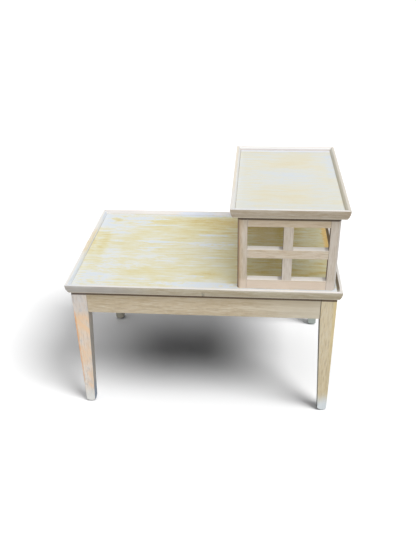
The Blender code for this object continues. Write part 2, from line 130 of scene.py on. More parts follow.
# Paint
GRAIN_DRAW = 0.06  # scale of the grain's noise along the wood; less draws it out more
STREAK_DRAW = 0.1
GRAIN_PLACE = (0, 0, -0.005)  # moves the grain's noise through the wood
TEAR_REACH = (0.05, 0.008)  # how far in x and y noise tears the edge of a mark on a board
MIDDLE_FADE = 0.1  # from the table's middle to where its front or back half is complete
EVEN = (1, 1, 1)
MARK_FIRM = 0.35  # share of a whitewash mark that is evenly covered
FLAT = 1000.0  # reach of a mark through a board's thickness
LIME_WHITE = screen(236, 232, 222)
GRAIN_DARK = screen(168, 144, 108)
WORN_PEACH = screen(243, 206, 160)
# colour of the painted shade, with some grime, below an overhang
SHADE_AND_GRIME = screen(72, 52, 32)
RIM_TAN = {
    "lower": (screen(183, 169, 139), screen(203, 192, 166)),
    "upper": (screen(180, 163, 138), screen(199, 185, 164)),
}
APRON_SHADE_AND_GRIME = (0.0074, 0.0094)  # painted shade and grime below the top: where they start to fade and where they have gone
# the same for the painted shade and grime below the tray
LATTICE_SHADE_AND_GRIME = (0.0076, 0.0096)

# Marks on a board: middle x, y; reach x, y; amber, where a minus is whitewash. A scale gives the
# colour at each level of amber.
LOWER_MARKS = (
    (0.0, 0.172, 0.16, 0.06, 0.46),
    (-0.16, 0.17, 0.08, 0.04, 0.20),
    (-0.298, 0.178, 0.03, 0.022, 0.34),
    (-0.308, 0.018, 0.022, 0.11, 0.23),
    (-0.337, 0.02, 0.009, 0.09, 0.17),
    (-0.338, 0.185, 0.02, 0.07, -0.40),
    (-0.144, -0.132, 0.13, 0.035, 0.12),
    (-0.005, -0.14, 0.07, 0.025, 0.16),
    (-0.306, -0.095, 0.018, 0.015, 0.15),
    (-0.075, 0.068, 0.035, 0.015, 0.15),
    (0.2135, 0.0, 0.25, 0.42, 0.40),
    (0.13, 0.16, 0.10, 0.08, 0.30),
    (0.26, -0.05, 0.07, 0.08, -0.16),
    (0.338, 0.10, 0.012, 0.16, 0.60),
    (0.19, -0.218, 0.20, 0.016, -0.95),
    (0.34, -0.18, 0.02, 0.06, -0.60),
    (-0.21, 0.19, 0.10, 0.015, -0.40),
    (-0.214, 0.166, 0.035, 0.016, -0.40),
    (-0.172, 0.146, 0.08, 0.008, -0.45),
    (-0.3055, 0.142, 0.04, 0.010, -0.45),
    (0.011, 0.082, 0.075, 0.008, -0.40),
    (-0.139, 0.035, 0.075, 0.008, -0.45),
    (-0.164, -0.002, 0.04, 0.006, -0.35),
    (0.0, 0.027, 0.10, 0.025, -0.25),
    (-0.278, 0.037, 0.045, 0.006, -0.35),
    (0.04, 0.0, 0.045, 0.006, -0.25),
    (0.0, -0.054, 0.10, 0.004, -0.30),
    (-0.022, -0.158, 0.04, 0.007, -0.35),
    (0.0, -0.200, 0.15, 0.018, -0.55),
    (-0.04, 0.217, 0.16, 0.012, -0.40),
    (-0.285, 0.15, 0.08, 0.09, -0.15),
    (-0.30, -0.175, 0.10, 0.065, -0.24),
    (-0.272, -0.054, 0.06, 0.06, -0.13),
    (-0.27, 0.088, 0.045, 0.006, -0.30),
    (-0.177, -0.022, 0.018, 0.004, -0.30),
    (-0.06, 0.105, 0.18, 0.05, 0.20),
    (0.0, 0.13, 0.10, 0.03, 0.04),
    (-0.135, 0.06, 0.06, 0.02, 0.09),
    (0.04, -0.15, 0.08, 0.045, 0.09),
    (0.145, 0.10, 0.07, 0.09, 0.12),
    (-0.244, 0.137, 0.03, 0.02, 0.06),
    (-0.289, -0.18, 0.03, 0.018, 0.05),
    (-0.20, 0.03, 0.10, 0.02, -0.07),
    (-0.175, 0.008, 0.06, 0.06, -0.11),
    (-0.13, -0.06, 0.09, 0.032, -0.15),
    (-0.25, -0.108, 0.15, 0.036, -0.16),
    (-0.15, -0.20, 0.08, 0.035, -0.12),
    (-0.333, 0.157, 0.03, 0.05, -0.13),
    (-0.25, 0.21, 0.16, 0.03, -0.13),
    (0.295, 0.09, 0.06, 0.10, -0.13),
)
LOWER_SCALE = (
    (0.12, screen(225, 232, 238)),
    (0.36, screen(232, 234, 230)),
    (0.52, screen(230, 226, 197)),
    (0.74, screen(225, 215, 162)),
    (1.00, screen(213, 189, 104)),
)
UPPER_MARKS = (
    (0.24, 0.145, 0.09, 0.08, 0.21),
    (0.20, 0.09, 0.12, 0.05, 0.20),
    (0.215, -0.13, 0.15, 0.09, 0.16),
    (0.20, 0.01, 0.12, 0.07, -0.16),
    (0.085, 0.0, 0.02, 0.24, -0.10),
    (0.34, 0.10, 0.025, 0.14, -0.25),
    (0.21, 0.215, 0.16, 0.02, -0.30),
    (0.325, 0.14, 0.04, 0.08, -0.08),
    (0.21, -0.20, 0.22, 0.06, -0.08),
)
UPPER_SCALE = (
    (0.15, screen(216, 222, 226)),
    (0.42, screen(221, 222, 213)),
    (0.62, screen(223, 218, 194)),
    (0.90, screen(220, 209, 172)),
)

# Modelling
WELD = 0.000001  # points closer than this are one
SMOOTH_ANGLE = math.radians(38)  # shading runs over edges that bend less
ARRIS_ANGLE = math.radians(35)  # edges that bend more can be eased
ALONG = 0.99  # least cosine of what runs along an axis
NEARLY_ALONG = 0.9
FINE_STEPS = 2  # bevel segments
EASE_STEPS = 3
DOME_STEPS = 5
ROUND_STEPS = 8
ROUND_WIDTH = math.sqrt(2)  # a round edge's bevel is this wide for each unit of its radius

SIDE_TURNS = {"front": 0, "right": 90, "back": 180, "left": 270}
SIDE_PAIRS = ((("front", "back"), 0), (("left", "right"), 1))  # and the axis that they run along
CORNER_TURNS = {"front_left": 0, "front_right": 90, "back_right": 180, "back_left": 270}
LEG_SCREW_TURN = 225  # degrees from +X to the front left leg, as the corner's screw points


# Modelling by hand: blocks, saw cuts, eased edges, tenons and mortises

def deselect():
    bpy.ops.object.select_all(action="DESELECT")


def apply_place():
    """Leaves the selected object at the origin, unturned and unscaled."""
    bpy.ops.object.transform_apply(location=True, rotation=True, scale=True)


def only(piece):
    """Selects one object alone and makes it the active one."""
    deselect()
    piece.select_set(True)
    bpy.context.view_layer.objects.active = piece


def begin_block(name, low, high):
    """A block between two corners, opened in edit mode."""
    low, high = Vector(low), Vector(high)
    deselect()
    bpy.ops.mesh.primitive_cube_add(size=1, location=(low + high) / 2)
    block = bpy.context.object
    block.scale = high - low
    apply_place()
    block.name = name
    block.data.name = name
    bpy.ops.object.mode_set(mode="EDIT")
    return block


def close_block():
    bpy.ops.object.mode_set(mode="OBJECT")


def saw_off(point, outward):
    """Cuts away what lies on the outward side of a plane, and closes the cut."""
    bpy.ops.mesh.select_all(action="SELECT")
    bpy.ops.mesh.bisect(plane_co=point, plane_no=outward, use_fill=True, clear_outer=True, threshold=WELD)


def score(point, across):
    """Draws a line of edges round the block where a plane meets it."""
    bpy.ops.mesh.select_all(action="SELECT")
    bpy.ops.mesh.bisect(plane_co=point, plane_no=across, threshold=WELD)


def pick(block, kind, test):
    """Selects the faces, edges or points that pass a test; a face gives its middle and normal,
    an edge its middle, direction and bend, and a point its place."""
    bpy.ops.mesh.select_mode(type=kind)
    bpy.ops.mesh.select_all(action="DESELECT")
    mesh = bmesh.from_edit_mesh(block.data)
    if kind == "FACE":
        for face in mesh.faces:
            face.select_set(test(face.calc_center_median(), face.normal))
    elif kind == "EDGE":
        for edge in mesh.edges:
            ends = [vert.co for vert in edge.verts]
            middle = (ends[0] + ends[1]) / 2
            along = (ends[1] - ends[0]).normalized()
            edge.select_set(test(middle, along, edge.calc_face_angle(0)))
    else:
        for vert in mesh.verts:
            vert.select_set(test(vert.co))
    mesh.select_flush_mode()
    bmesh.update_edit_mesh(block.data)


def ease(block, width, steps, test):
    """Rounds the arrises that pass a test on their middle and direction."""
    pick(block, "EDGE", lambda middle, along, angle: angle > ARRIS_ANGLE and test(middle, along))
    bpy.ops.mesh.bevel(offset=width, offset_type="WIDTH", segments=steps, profile=0.5, affect="EDGES")


def runs(axis, least=ALONG):
    """Test for edges that run along an axis, 0 to 2."""
    return lambda middle, along: abs(along[axis]) > least


def along_axis(axis, amount):
    """A move along one axis, 0 to 2."""
    return [amount if k == axis else 0 for k in range(3)]


def extrude(move):
    bpy.ops.mesh.extrude_region_move(TRANSFORM_OT_translate={"value": move})


def apply_modifier(piece, kind, settings):
    only(piece)
    modifier = piece.modifiers.new(kind.lower(), kind)
    for name, value in settings.items():
        setattr(modifier, name, value)
    bpy.ops.object.modifier_apply(modifier=modifier.name)


def carve(piece, tool):
    """Cuts a tool's shape out of a piece and throws the tool away."""
    apply_modifier(piece, "BOOLEAN", {"operation": "DIFFERENCE", "solver": "EXACT", "object": tool})
    bpy.data.objects.remove(tool)


def let_in(piece, node):
    """Cuts the mortise, notch or hole that a neighbour in the frame needs."""
    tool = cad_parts[node].copy()
    tool.data = tool.data.copy()
    bpy.context.scene.collection.objects.link(tool)
    tool.parent = None
    tool.hide_viewport = False
    only(tool)
    bpy.ops.object.mode_set(mode="EDIT")
    bpy.ops.mesh.select_all(action="SELECT")
    bpy.ops.mesh.remove_doubles(threshold=WELD)
    close_block()
    carve(piece, tool)


def add_tenons(block, axis, body, section, length):
    """Draws a tenon out of both end faces; section is the tenon's size across the bar."""
    low, high = body
    middle = (low + high) / 2
    shrink = [section[k] / (high[k] - low[k]) if k != axis else 1 for k in range(3)]
    for end, sign in ((low, -1), (high, 1)):
        pick(block, "FACE", lambda place, normal: normal[axis] * sign > ALONG and
             abs(place[axis] - end[axis]) < FIT_GAP)
        extrude((0, 0, 0))
        bpy.ops.transform.resize(value=shrink, center_override=middle)
        extrude(along_axis(axis, sign * length))


def copy_of(master, name, place):
    """A copy with its own mesh, moved to its place there."""
    copy = master.copy()
    copy.data = master.data.copy()
    copy.name = name
    copy.data.name = name
    bpy.context.scene.collection.objects.link(copy)
    copy.matrix_world = place
    only(copy)
    apply_place()
    return copy


def turned(degrees, axis="Z"):
    return Matrix.Rotation(math.radians(degrees), 4, axis)


def side_place(node, side):
    """Turns a strip modelled as a front one, with its outer face at y = 0, to its own side."""
    low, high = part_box(node)
    middle = (low + high) / 2
    x = {"left": low.x, "right": high.x}.get(side, middle.x)
    y = {"front": low.y, "back": high.y}.get(side, middle.y)
    return Matrix.Translation((x, y, high.z)) @ turned(SIDE_TURNS[side])


def corner_place(node, corner):
    """Turns a piece modelled for the front left corner, which lies at the origin, to its own corner."""
    low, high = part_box(node)
    x = low.x if corner.endswith("left") else high.x
    y = low.y if corner.startswith("front") else high.y
    return Matrix.Translation((x, y, 0)) @ turned(CORNER_TURNS[corner])


def smooth(piece):
    """Smooth shading over eased edges, with flat faces kept flat."""
    only(piece)
    bpy.ops.object.shade_smooth_by_angle(angle=SMOOTH_ANGLE)
    apply_modifier(piece, "WEIGHTED_NORMAL", {"keep_sharp": True})


def settle(piece, slot, finish, *nodes):
    """Hands a finished piece to the frame, in place of its nodes."""
    smooth(piece)
    piece.data.materials.clear()
    piece.data.materials.append(finish)
    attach(piece, "root")
    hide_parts(*nodes)


# Boards and rims

def model_board(node):
    """Board with a tongue all round, and a fine easing along the top that shows as a joint line."""
    low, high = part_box(node)
    reach = Vector((TONGUE_LENGTH, TONGUE_LENGTH, 0))
    block = begin_block("limed_" + node, low + reach, high - reach)
    middle = (low.z + high.z) / 2
    for z in (middle - TONGUE_THICKNESS / 2, middle + TONGUE_THICKNESS / 2):
        score((0, 0, z), (0, 0, 1))
    pick(block, "FACE", lambda place, normal: abs(normal.z) < ALONG and abs(place.z - middle) < FIT_GAP)
    bpy.ops.mesh.extrude_region_shrink_fatten(
        TRANSFORM_OT_shrink_fatten={"value": TONGUE_LENGTH, "use_even_offset": True})
    ease(block, BOARD_EASE, FINE_STEPS, lambda place, along: abs(place.z - high.z) < FIT_GAP)
    close_block()
    return block


def model_rim(name, length):
    """Moulded strip along X with mitred ends, its outer face at y = 0 and its top at z = 0."""
    spare = RIM_WIDTH
    block = begin_block(name, (-length / 2 - spare, 0, -RIM_HEIGHT), (length / 2 + spare, RIM_WIDTH, 0))
    radius = (RIM_UNDERCUT**2 + RIM_HEIGHT**2) / (2 * RIM_UNDERCUT)
    sweep = math.asin(RIM_HEIGHT / radius)
    for stroke in range(RIM_PASSES):
        angle = sweep * (stroke + 1) / RIM_PASSES
        outward = Vector((0, -math.cos(angle), -math.sin(angle)))
        saw_off(Vector((0, radius, 0)) + radius * outward, outward)
    saw_off((0, RIM_FLAT, 0), (0, RIM_LIP, RIM_WIDTH - RIM_FLAT))
    ease(block, RIM_EASE, EASE_STEPS, runs(0))
    tongue = -(RIM_LIP + RIM_HEIGHT) / 2
    half = TONGUE_THICKNESS / 2 + FIT_GAP
    for z in (tongue - half, tongue + half):
        score((0, 0, z), (0, 0, 1))
    pick(block, "FACE", lambda place, normal: normal.y > ALONG and abs(place.z - tongue) < half)
    extrude((0, -TONGUE_LENGTH - FIT_GAP, 0))
    for side in (-1, 1):
        saw_off((side * (length / 2 - MITRE_GAP), 0, 0), (side, 1, 0))
    mitre = length / 2 - 1.5 * RIM_WIDTH
    ease(block, MITRE_EASE, FINE_STEPS, lambda place, along: abs(place.x) > mitre and abs(along.x) < ALONG)
    close_block()
    return block


def split(strip):
    """A hairline crack across the foot of the front rim's face, leaning by twice its width."""
    half = CRACK_WIDTH / 2
    low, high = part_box("lower_rim_front")
    wedge = begin_block("crack", (CRACK_X - half, low.y - CRACK_DEPTH, low.z - CRACK_DEPTH),
                        (CRACK_X + half, low.y + RIM_UNDERCUT + CRACK_DEPTH, (low.z + high.z) / 2))
    pick(wedge, "VERT", lambda place: place.z > low.z)
    bpy.ops.transform.translate(value=(2 * CRACK_WIDTH, 0, 0))
    close_block()
    carve(strip, wedge)


def make_rims(level, finishes):
    """The four strips of a rim; opposite ones are copies."""
    for sides, axis in SIDE_PAIRS:
        low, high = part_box(f"{level}_rim_{sides[0]}")
        master = model_rim("rim_master", high[axis] - low[axis] + 2 * MITRE_GAP)
        for side in sides:
            node = f"{level}_rim_{side}"
            strip = copy_of(master, "limed_" + node, side_place(node, side))
            if node == "lower_rim_front":
                split(strip)
            settle(strip, "limed_rim", finishes[axis], node)
        bpy.data.objects.remove(master)


# Legs and aprons

def model_leg():
    """Leg with its outer corner at the origin, tapered on its two inner faces below the aprons."""
    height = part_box("leg_front_left")[1].z
    taper_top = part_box("apron_front")[0].z
    block = begin_block("leg_master", (0, 0, 0), (LEG_TOP, LEG_TOP, height))
    score((0, 0, taper_top), (0, 0, 1))
    thin = LEG_FOOT - LEG_TOP
    for axis in (0, 1):
        pick(block, "VERT", lambda place: place.z < FIT_GAP and place[axis] > LEG_TOP / 2)
        bpy.ops.transform.translate(value=along_axis(axis, thin))
    ease(block, LEG_EASE, EASE_STEPS, runs(2, NEARLY_ALONG))
    close_block()
    round_foot(block)
    return block


def round_foot(leg):
    """Domes the foot with a cutter that has a hollow ball in it; the dome is flat where it stands."""
    radius, height = FOOT_BALL
    middle = LEG_FOOT / 2
    deselect()
    bpy.ops.mesh.primitive_uv_sphere_add(
        segments=BALL_SEGMENTS, ring_count=BALL_SEGMENTS // 2, radius=radius,
        location=(middle, middle, height))
    ball = bpy.context.object
    apply_place()
    cutter = begin_block("cutter", (-LEG_FOOT, -LEG_FOOT, -radius), (2 * LEG_FOOT, 2 * LEG_FOOT, height))
    close_block()
    carve(cutter, ball)
    carve(leg, cutter)


def make_legs(finishes):
    """Four copies of one leg, each with its mortises and screw hole."""
    master = model_leg()
    for corner in CORNER_TURNS:
        node = "leg_" + corner
        leg = copy_of(master, "limed_" + node, corner_place(node, corner))
        front_or_back, left_or_right = corner.split("_")
        for neighbour in ("apron_" + front_or_back, "apron_" + left_or_right, "leg_screw_" + corner):
            let_in(leg, neighbour)
        settle(leg, "limed_frame", finishes[left_or_right], node)
    bpy.data.objects.remove(master)


def model_apron(name, length, height, thickness, short_end=0.0):
    """Apron along X between its tenons' tips, its outer face at y = 0 and its top at z = 0."""
    half = length / 2 - APRON_TENON_LENGTH
    low = Vector((-half, 0, -height))
    high = Vector((half - short_end, thickness, 0))
    block = begin_block(name, low, high)
    ease(block, APRON_EASE, EASE_STEPS, runs(0))
    section = (0, APRON_TENON[0], height - 2 * APRON_TENON[1])
    add_tenons(block, 0, (low, high), section, APRON_TENON_LENGTH)
    close_block()
    return block


def make_aprons(finishes):
    """Four aprons; the front one has an open joint at the right leg."""
    for sides, axis in SIDE_PAIRS:
        for side in sides:
            node = "apron_" + side
            low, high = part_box(node)
            size = high - low
            gap = OPEN_JOINT if side == "front" else 0.0
            master = model_apron("apron_master", size[axis], size.z, size[1 - axis], gap)
            apron = copy_of(master, "limed_" + node, side_place(node, side))
            settle(apron, "limed_frame", finishes[axis], node)
            bpy.data.objects.remove(master)


# Lattices

def model_stile(node):
    """Upright at a lattice's side, well rounded along its outer edges."""
    low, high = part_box(node)
    block = begin_block("limed_" + node, low, high)
    outer = high.x if node.endswith("right") else low.x
    upright = runs(2)
    ease(block, STILE_ROUND * ROUND_WIDTH, ROUND_STEPS,
         lambda place, along: upright(place, along) and abs(place.x - outer) < FIT_GAP)
    ease(block, BAR_EASE, EASE_STEPS,
         lambda place, along: upright(place, along) and abs(place.x - outer) > STILE_ROUND)
    close_block()
    return block


def model_bar(node, axis):
    """Rail or muntin with its tenons; the tenons' tips are the ends of the node's box."""
    low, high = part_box(node)
    reach = Vector(along_axis(axis, LATTICE_TENON_LENGTH))
    low, high = low + reach, high - reach
    block = begin_block("limed_" + node, low, high)
    ease(block, BAR_EASE, EASE_STEPS, runs(axis))
    section = [high[k] - low[k] - 2 * LATTICE_TENON[1] for k in range(3)]
    section[1] = LATTICE_TENON[0]
    add_tenons(block, axis, (low, high), section, LATTICE_TENON_LENGTH)
    close_block()
    return block


def make_lattices(finishes):
    """Both lattices, bar by bar; finishes go by the axis that the grain runs along."""
    for facing in ("front", "back"):
        name = facing + "_lattice_"
        rails = [name + rail for rail in ("top_rail", "cross_rail", "bottom_rail")]
        muntin = name + "muntin"
        for node in (name + "stile_left", name + "stile_right"):
            stile = model_stile(node)
            for rail in rails:
                let_in(stile, rail)
            settle(stile, "limed_lattice", finishes[2], node)
        for rail in rails:
            bar = model_bar(rail, 0)
            let_in(bar, muntin)
            settle(bar, "limed_lattice", finishes[0], rail)
        upright = model_bar(muntin, 2)
        let_in(upright, name + "cross_rail")
        settle(upright, "limed_lattice", finishes[2], muntin)


# Screws

def model_screw(length):
    """Slotted domed screw pointing along +Z, with the seat of its head at the origin."""
    deselect()
    bpy.ops.mesh.primitive_cylinder_add(
        vertices=SCREW_SIDES, radius=SCREW_HEAD_RADIUS, depth=SCREW_HEAD_HEIGHT,
        location=(0, 0, -SCREW_HEAD_HEIGHT / 2))
    screw = bpy.context.object
    apply_place()
    bpy.ops.object.mode_set(mode="EDIT")
    pick(screw, "FACE", lambda place, normal: normal.z > ALONG)
    extrude((0, 0, 0))
    slim = SCREW_SHANK_RADIUS / SCREW_HEAD_RADIUS
    bpy.ops.transform.resize(value=(slim, slim, 1), center_override=(0, 0, 0))
    point = 2 * SCREW_SHANK_RADIUS
    extrude((0, 0, length - point))
    extrude((0, 0, point))
    bpy.ops.transform.resize(value=(SCREW_TIP, SCREW_TIP, 1), center_override=(0, 0, length))
    top = -SCREW_HEAD_HEIGHT
    ease(screw, SCREW_DOME * SCREW_HEAD_HEIGHT, DOME_STEPS,
         lambda place, along: abs(place.z - top) < FIT_GAP)
    close_block()
    width, depth = SCREW_SLOT
    slot = begin_block("slot", (-2 * SCREW_HEAD_RADIUS, -width / 2, top - depth),
                       (2 * SCREW_HEAD_RADIUS, width / 2, top + depth))
    close_block()
    carve(screw, slot)
    return screw


def make_screws(finish):
    """One long screw through each corner block into its leg, and two up into the lower top."""
    low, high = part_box("top_screw_front_left_1")
    up = model_screw(high.z - low.z - SCREW_HEAD_HEIGHT)
    across = model_screw(LEG_SCREW_LENGTH)
    for corner, turn in CORNER_TURNS.items():
        for number in (1, 2):
            node = f"top_screw_{corner}_{number}"
            low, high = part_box(node)
            seat = Vector(((low.x + high.x) / 2, (low.y + high.y) / 2, low.z + SCREW_HEAD_HEIGHT))
            place = Matrix.Translation(seat) @ turned(turn + SLOT_TURN * number)
            screw = copy_of(up, "slotted_" + node, place)
            settle(screw, "screw_steel", finish, node)
        node = "leg_screw_" + corner
        low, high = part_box("corner_block_" + corner)
        lie = turned(turn + LEG_SCREW_TURN) @ turned(90, "Y")
        screw = copy_of(across, "slotted_" + node, Matrix.Translation((low + high) / 2) @ lie)
        settle(screw, "screw_steel", finish, node)
    bpy.data.objects.remove(up)
    bpy.data.objects.remove(across)


# Finishes

class Field:
    """A value over a surface; sums and products of fields add Math nodes."""

    def __init__(self, wiring, socket):
        self.wiring = wiring
        self.socket = socket

    def maths(self, operation, first, second):
        return self.wiring.node("ShaderNodeMath", {"operation": operation}, {
            "Value": first, "Value_001": second})

    def __add__(self, other):
        return self.maths("ADD", self, other)

    def __radd__(self, other):
        return self.maths("ADD", other, self)

    def __sub__(self, other):
        return self.maths("SUBTRACT", self, other)

    def __rsub__(self, other):
        return self.maths("SUBTRACT", other, self)

    def __mul__(self, other):
        return self.maths("MULTIPLY", self, other)

    def __rmul__(self, other):
        return self.maths("MULTIPLY", other, self)


class Wiring:
    """The nodes of a material or of the world, added one by one."""

    def __init__(self, tree):
        self.tree = tree

    def feed(self, node, sockets):
        for name, value in sockets.items():
            socket = next(s for s in node.inputs if name in (s.identifier, s.name))
            if isinstance(value, Field):
                self.tree.links.new(value.socket, socket)
            else:
                socket.default_value = value

    def node(self, kind, settings, sockets, output=None):
        """Adds any node: its settings first, then its sockets' values or links."""
        made = self.tree.nodes.new(kind)
        for name, value in settings.items():
            setattr(made, name, value)
        self.feed(made, sockets)
        outputs = [s for s in made.outputs if output in (None, s.identifier, s.name)]
        return Field(self, outputs[0])

    def parts(self, vector):
        """The three coordinates of a vector as fields."""
        return [self.node("ShaderNodeSeparateXYZ", {}, {"Vector": vector}, axis) for axis in "XYZ"]

    def step(self, value, start, end):
        """Rises smoothly from 0 at start to 1 at end, or falls where end is the lower one."""
        return self.node("ShaderNodeMapRange", {"interpolation_type": "SMOOTHSTEP"}, {
            "Value": value, "From Min": start, "From Max": end})

    def mix(self, factor, first, second):
        return self.node("ShaderNodeMix", {"data_type": "RGBA"}, {
            "Factor_Float": factor, "A_Color": first, "B_Color": second}, "Result_Color")


class Finish(Wiring):
    """A material built up in coats of paint, with a Principled shader at its end."""

    def __init__(self, name):
        self.material = bpy.data.materials.new(name)
        self.material.use_nodes = True
        super().__init__(self.material.node_tree)
        self.shader = self.tree.nodes["Principled BSDF"]
        self.place = self.node("ShaderNodeTexCoord", {}, {}, "Object")
        self.x, self.y, self.z = self.parts(self.place)
        self.grain = self.node("ShaderNodeVectorMath", {"operation": "ADD"}, {
            "Vector": self.place, "Vector_001": GRAIN_PLACE})
        self.colour = None

    def noise(self, stretch, scale, detail=2.0, roughness=0.5, place=None, output="Fac"):
        """Cloudy noise around 0.5; a small stretch draws it out along that axis."""
        drawn = self.node("ShaderNodeVectorMath", {"operation": "MULTIPLY"}, {
            "Vector": place or self.grain, "Vector_001": stretch})
        return self.node("ShaderNodeTexNoise", {}, {
            "Vector": drawn, "Scale": scale, "Detail": detail, "Roughness": roughness}, output)

    def ramp(self, value, stops):
        """Colour read off a scale, given as (value, colour) from low to high."""
        made = self.node("ShaderNodeValToRGB", {}, {"Fac": value}, "Color")
        scale = made.socket.node.color_ramp
        while len(scale.elements) < len(stops):
            scale.elements.new(1.0)
        for element, (position, colour) in zip(scale.elements, stops):
            element.position = position
            element.color = colour
        return made

    def band(self, value, low, high, fade):
        """1 between two values, fading out beyond them."""
        return self.step(value, low - fade, low) * self.step(value, high + fade, high)

    def facing(self, axis, start, end):
        """Rises as the surface turns towards an axis, 0 to 2; 1 is straight along it, -1 against it."""
        normal = self.node("ShaderNodeNewGeometry", {}, {}, "Normal")
        return self.step(self.parts(normal)[axis], start, end)

    def front_half(self):
        """1 on the front half of the table, fading to 0 at its middle."""
        return self.step(self.y, 0.0, -MIDDLE_FADE)

    def back_half(self):
        return self.step(self.y, 0.0, MIDDLE_FADE)

    def patch(self, place, middle, reach, firm):
        """1 round a point of a board, fading to 0 at its reach; firm is the share where the fade starts."""
        share = self.node("ShaderNodeMapping", {"vector_type": "TEXTURE"}, {
            "Vector": place, "Location": (*middle, 0), "Scale": (*reach, FLAT)})
        length = self.node("ShaderNodeVectorMath", {"operation": "LENGTH"}, {"Vector": share}, "Value")
        return self.step(length, 1.0, firm)

    def paint(self, mask, colour):
        """Lays a colour over what is there, as far as the mask says."""
        self.colour = self.mix(mask, self.colour, colour)

    def done(self, roughness, height, bump):
        """Feeds the shader and returns the material; bump is the relief's depth in metres."""
        normal = self.node("ShaderNodeBump", {}, {
            "Height": height, "Distance": bump, "Strength": 1.0}, "Normal")
        self.feed(self.shader, {"Base Color": self.colour, "Roughness": roughness, "Normal": normal})
        return self.material


def drawn_out(axis, share):
    """Stretch for noise that is drawn out along an axis, 0 to 2."""
    return [share if k == axis else 1 for k in range(3)]


class Oak(Finish):
    """Figure, fibres and open pores of oak whose grain runs along an axis."""

    def __init__(self, name, axis):
        super().__init__(name)
        grain = drawn_out(axis, GRAIN_DRAW)
        self.figure = self.noise(grain, scale=60, detail=3.0, roughness=0.55)
        self.fibre = self.noise(grain, scale=420, detail=4.0, roughness=0.6)
        specks = self.noise(grain, scale=1300, detail=1.0)
        self.pore = self.step(specks + 0.12 * self.figure, 0.66, 0.76)

    def leave_bare(self, mask):
        """Wood that was left bare and has darkened, on what nobody sees."""
        self.paint(mask, self.mix(self.figure, screen(96, 98, 101), screen(130, 132, 136)))


class LimedOak(Oak):
    """Oak rubbed with lime: tan wood with paler figure and blotches, and white pores."""

    def __init__(self, name, axis, deep, pale):
        super().__init__(name, axis)
        blotch = self.noise(EVEN, scale=11, roughness=0.6)
        self.lime = self.step(0.45 * self.figure + 0.25 * self.fibre + 0.3 * blotch, 0.36, 0.64)
        self.colour = self.limed(deep, pale)
        streak = self.noise(drawn_out(axis, STREAK_DRAW), scale=330)
        self.paint(0.35 * self.step(streak, 0.5, 0.34), GRAIN_DARK)
        self.paint(0.25 * self.step(streak, 0.52, 0.68), LIME_WHITE)
        self.paint(0.45 * self.pore, LIME_WHITE)

    def limed(self, deep, pale):
        """Colour of a coat, with the lime's own pattern in it."""
        return self.mix(self.lime, deep, pale)

    def whiten_upward(self, colour):
        """Lime left thick on what looks up."""
        self.paint(self.facing(2, 0.25, 0.6) * (0.95 + 0.3 * (self.fibre - 0.5)), colour)

    def darken_under(self, top, reach, colour):
        """Painted shade, with some grime, below an overhang; reach is how far down it starts to fade and
        where it has gone.
        """
        fade, end = reach
        self.paint(0.9 * self.step(self.z, top - end, top - fade), colour)

    def whiten_foot(self, start, end, edge, colour):
        """Lime left on the front feet, with an uneven edge; the back legs are painted a darker green-grey,
        partly painted shade, and the underside of the foot gets painted shade with some grime.
        """
        foot = self.step(self.z + 0.04 * (edge - 0.5), start, end)
        self.paint(0.85 * foot * self.front_half(), colour)
        # partly painted shade: the back legs in a darker green-grey
        greenish_shade = self.limed(screen(158, 155, 136), screen(192, 190, 174))
        self.paint(0.8 * self.back_half(), greenish_shade)
        # painted shade, with some grime, on the underside of the foot
        sole_shade = self.facing(2, -0.2, -0.5) * self.step(self.z, 0.03, 0.02)
        self.paint(0.7 * sole_shade, screen(100, 98, 96))

    def close(self):
        return self.done(roughness=0.5 + 0.12 * self.lime, height=self.fibre - 0.5 * self.pore, bump=0.00025)


def apron_finish(name, axis):
    """Aprons: yellowish tan outside, pinker at the right end, bare inside, with painted shade and grime below
    the rim.
    """
    wood = LimedOak(name, axis, screen(203, 184, 151), screen(220, 205, 177))
    across = (wood.y, wood.x)[axis]
    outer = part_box(("apron_back", "apron_right")[axis])[1][1 - axis]
    wood.leave_bare(wood.step(across * across, (outer - 0.004)**2, (outer - 0.008)**2))
    pinker = wood.limed(screen(215, 205, 183), screen(230, 221, 202))
    wood.paint(0.8 * wood.step(wood.x, 0.05, 0.3), pinker)
    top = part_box("apron_front")[1].z
    # painted shade below the rim: darker towards the top, then a band of painted shade and grime
    wood.paint(0.4 * wood.step(wood.z, top - 0.035, top - 0.008), screen(160, 142, 110))
    wood.darken_under(top, APRON_SHADE_AND_GRIME, SHADE_AND_GRIME)
    return wood.close()


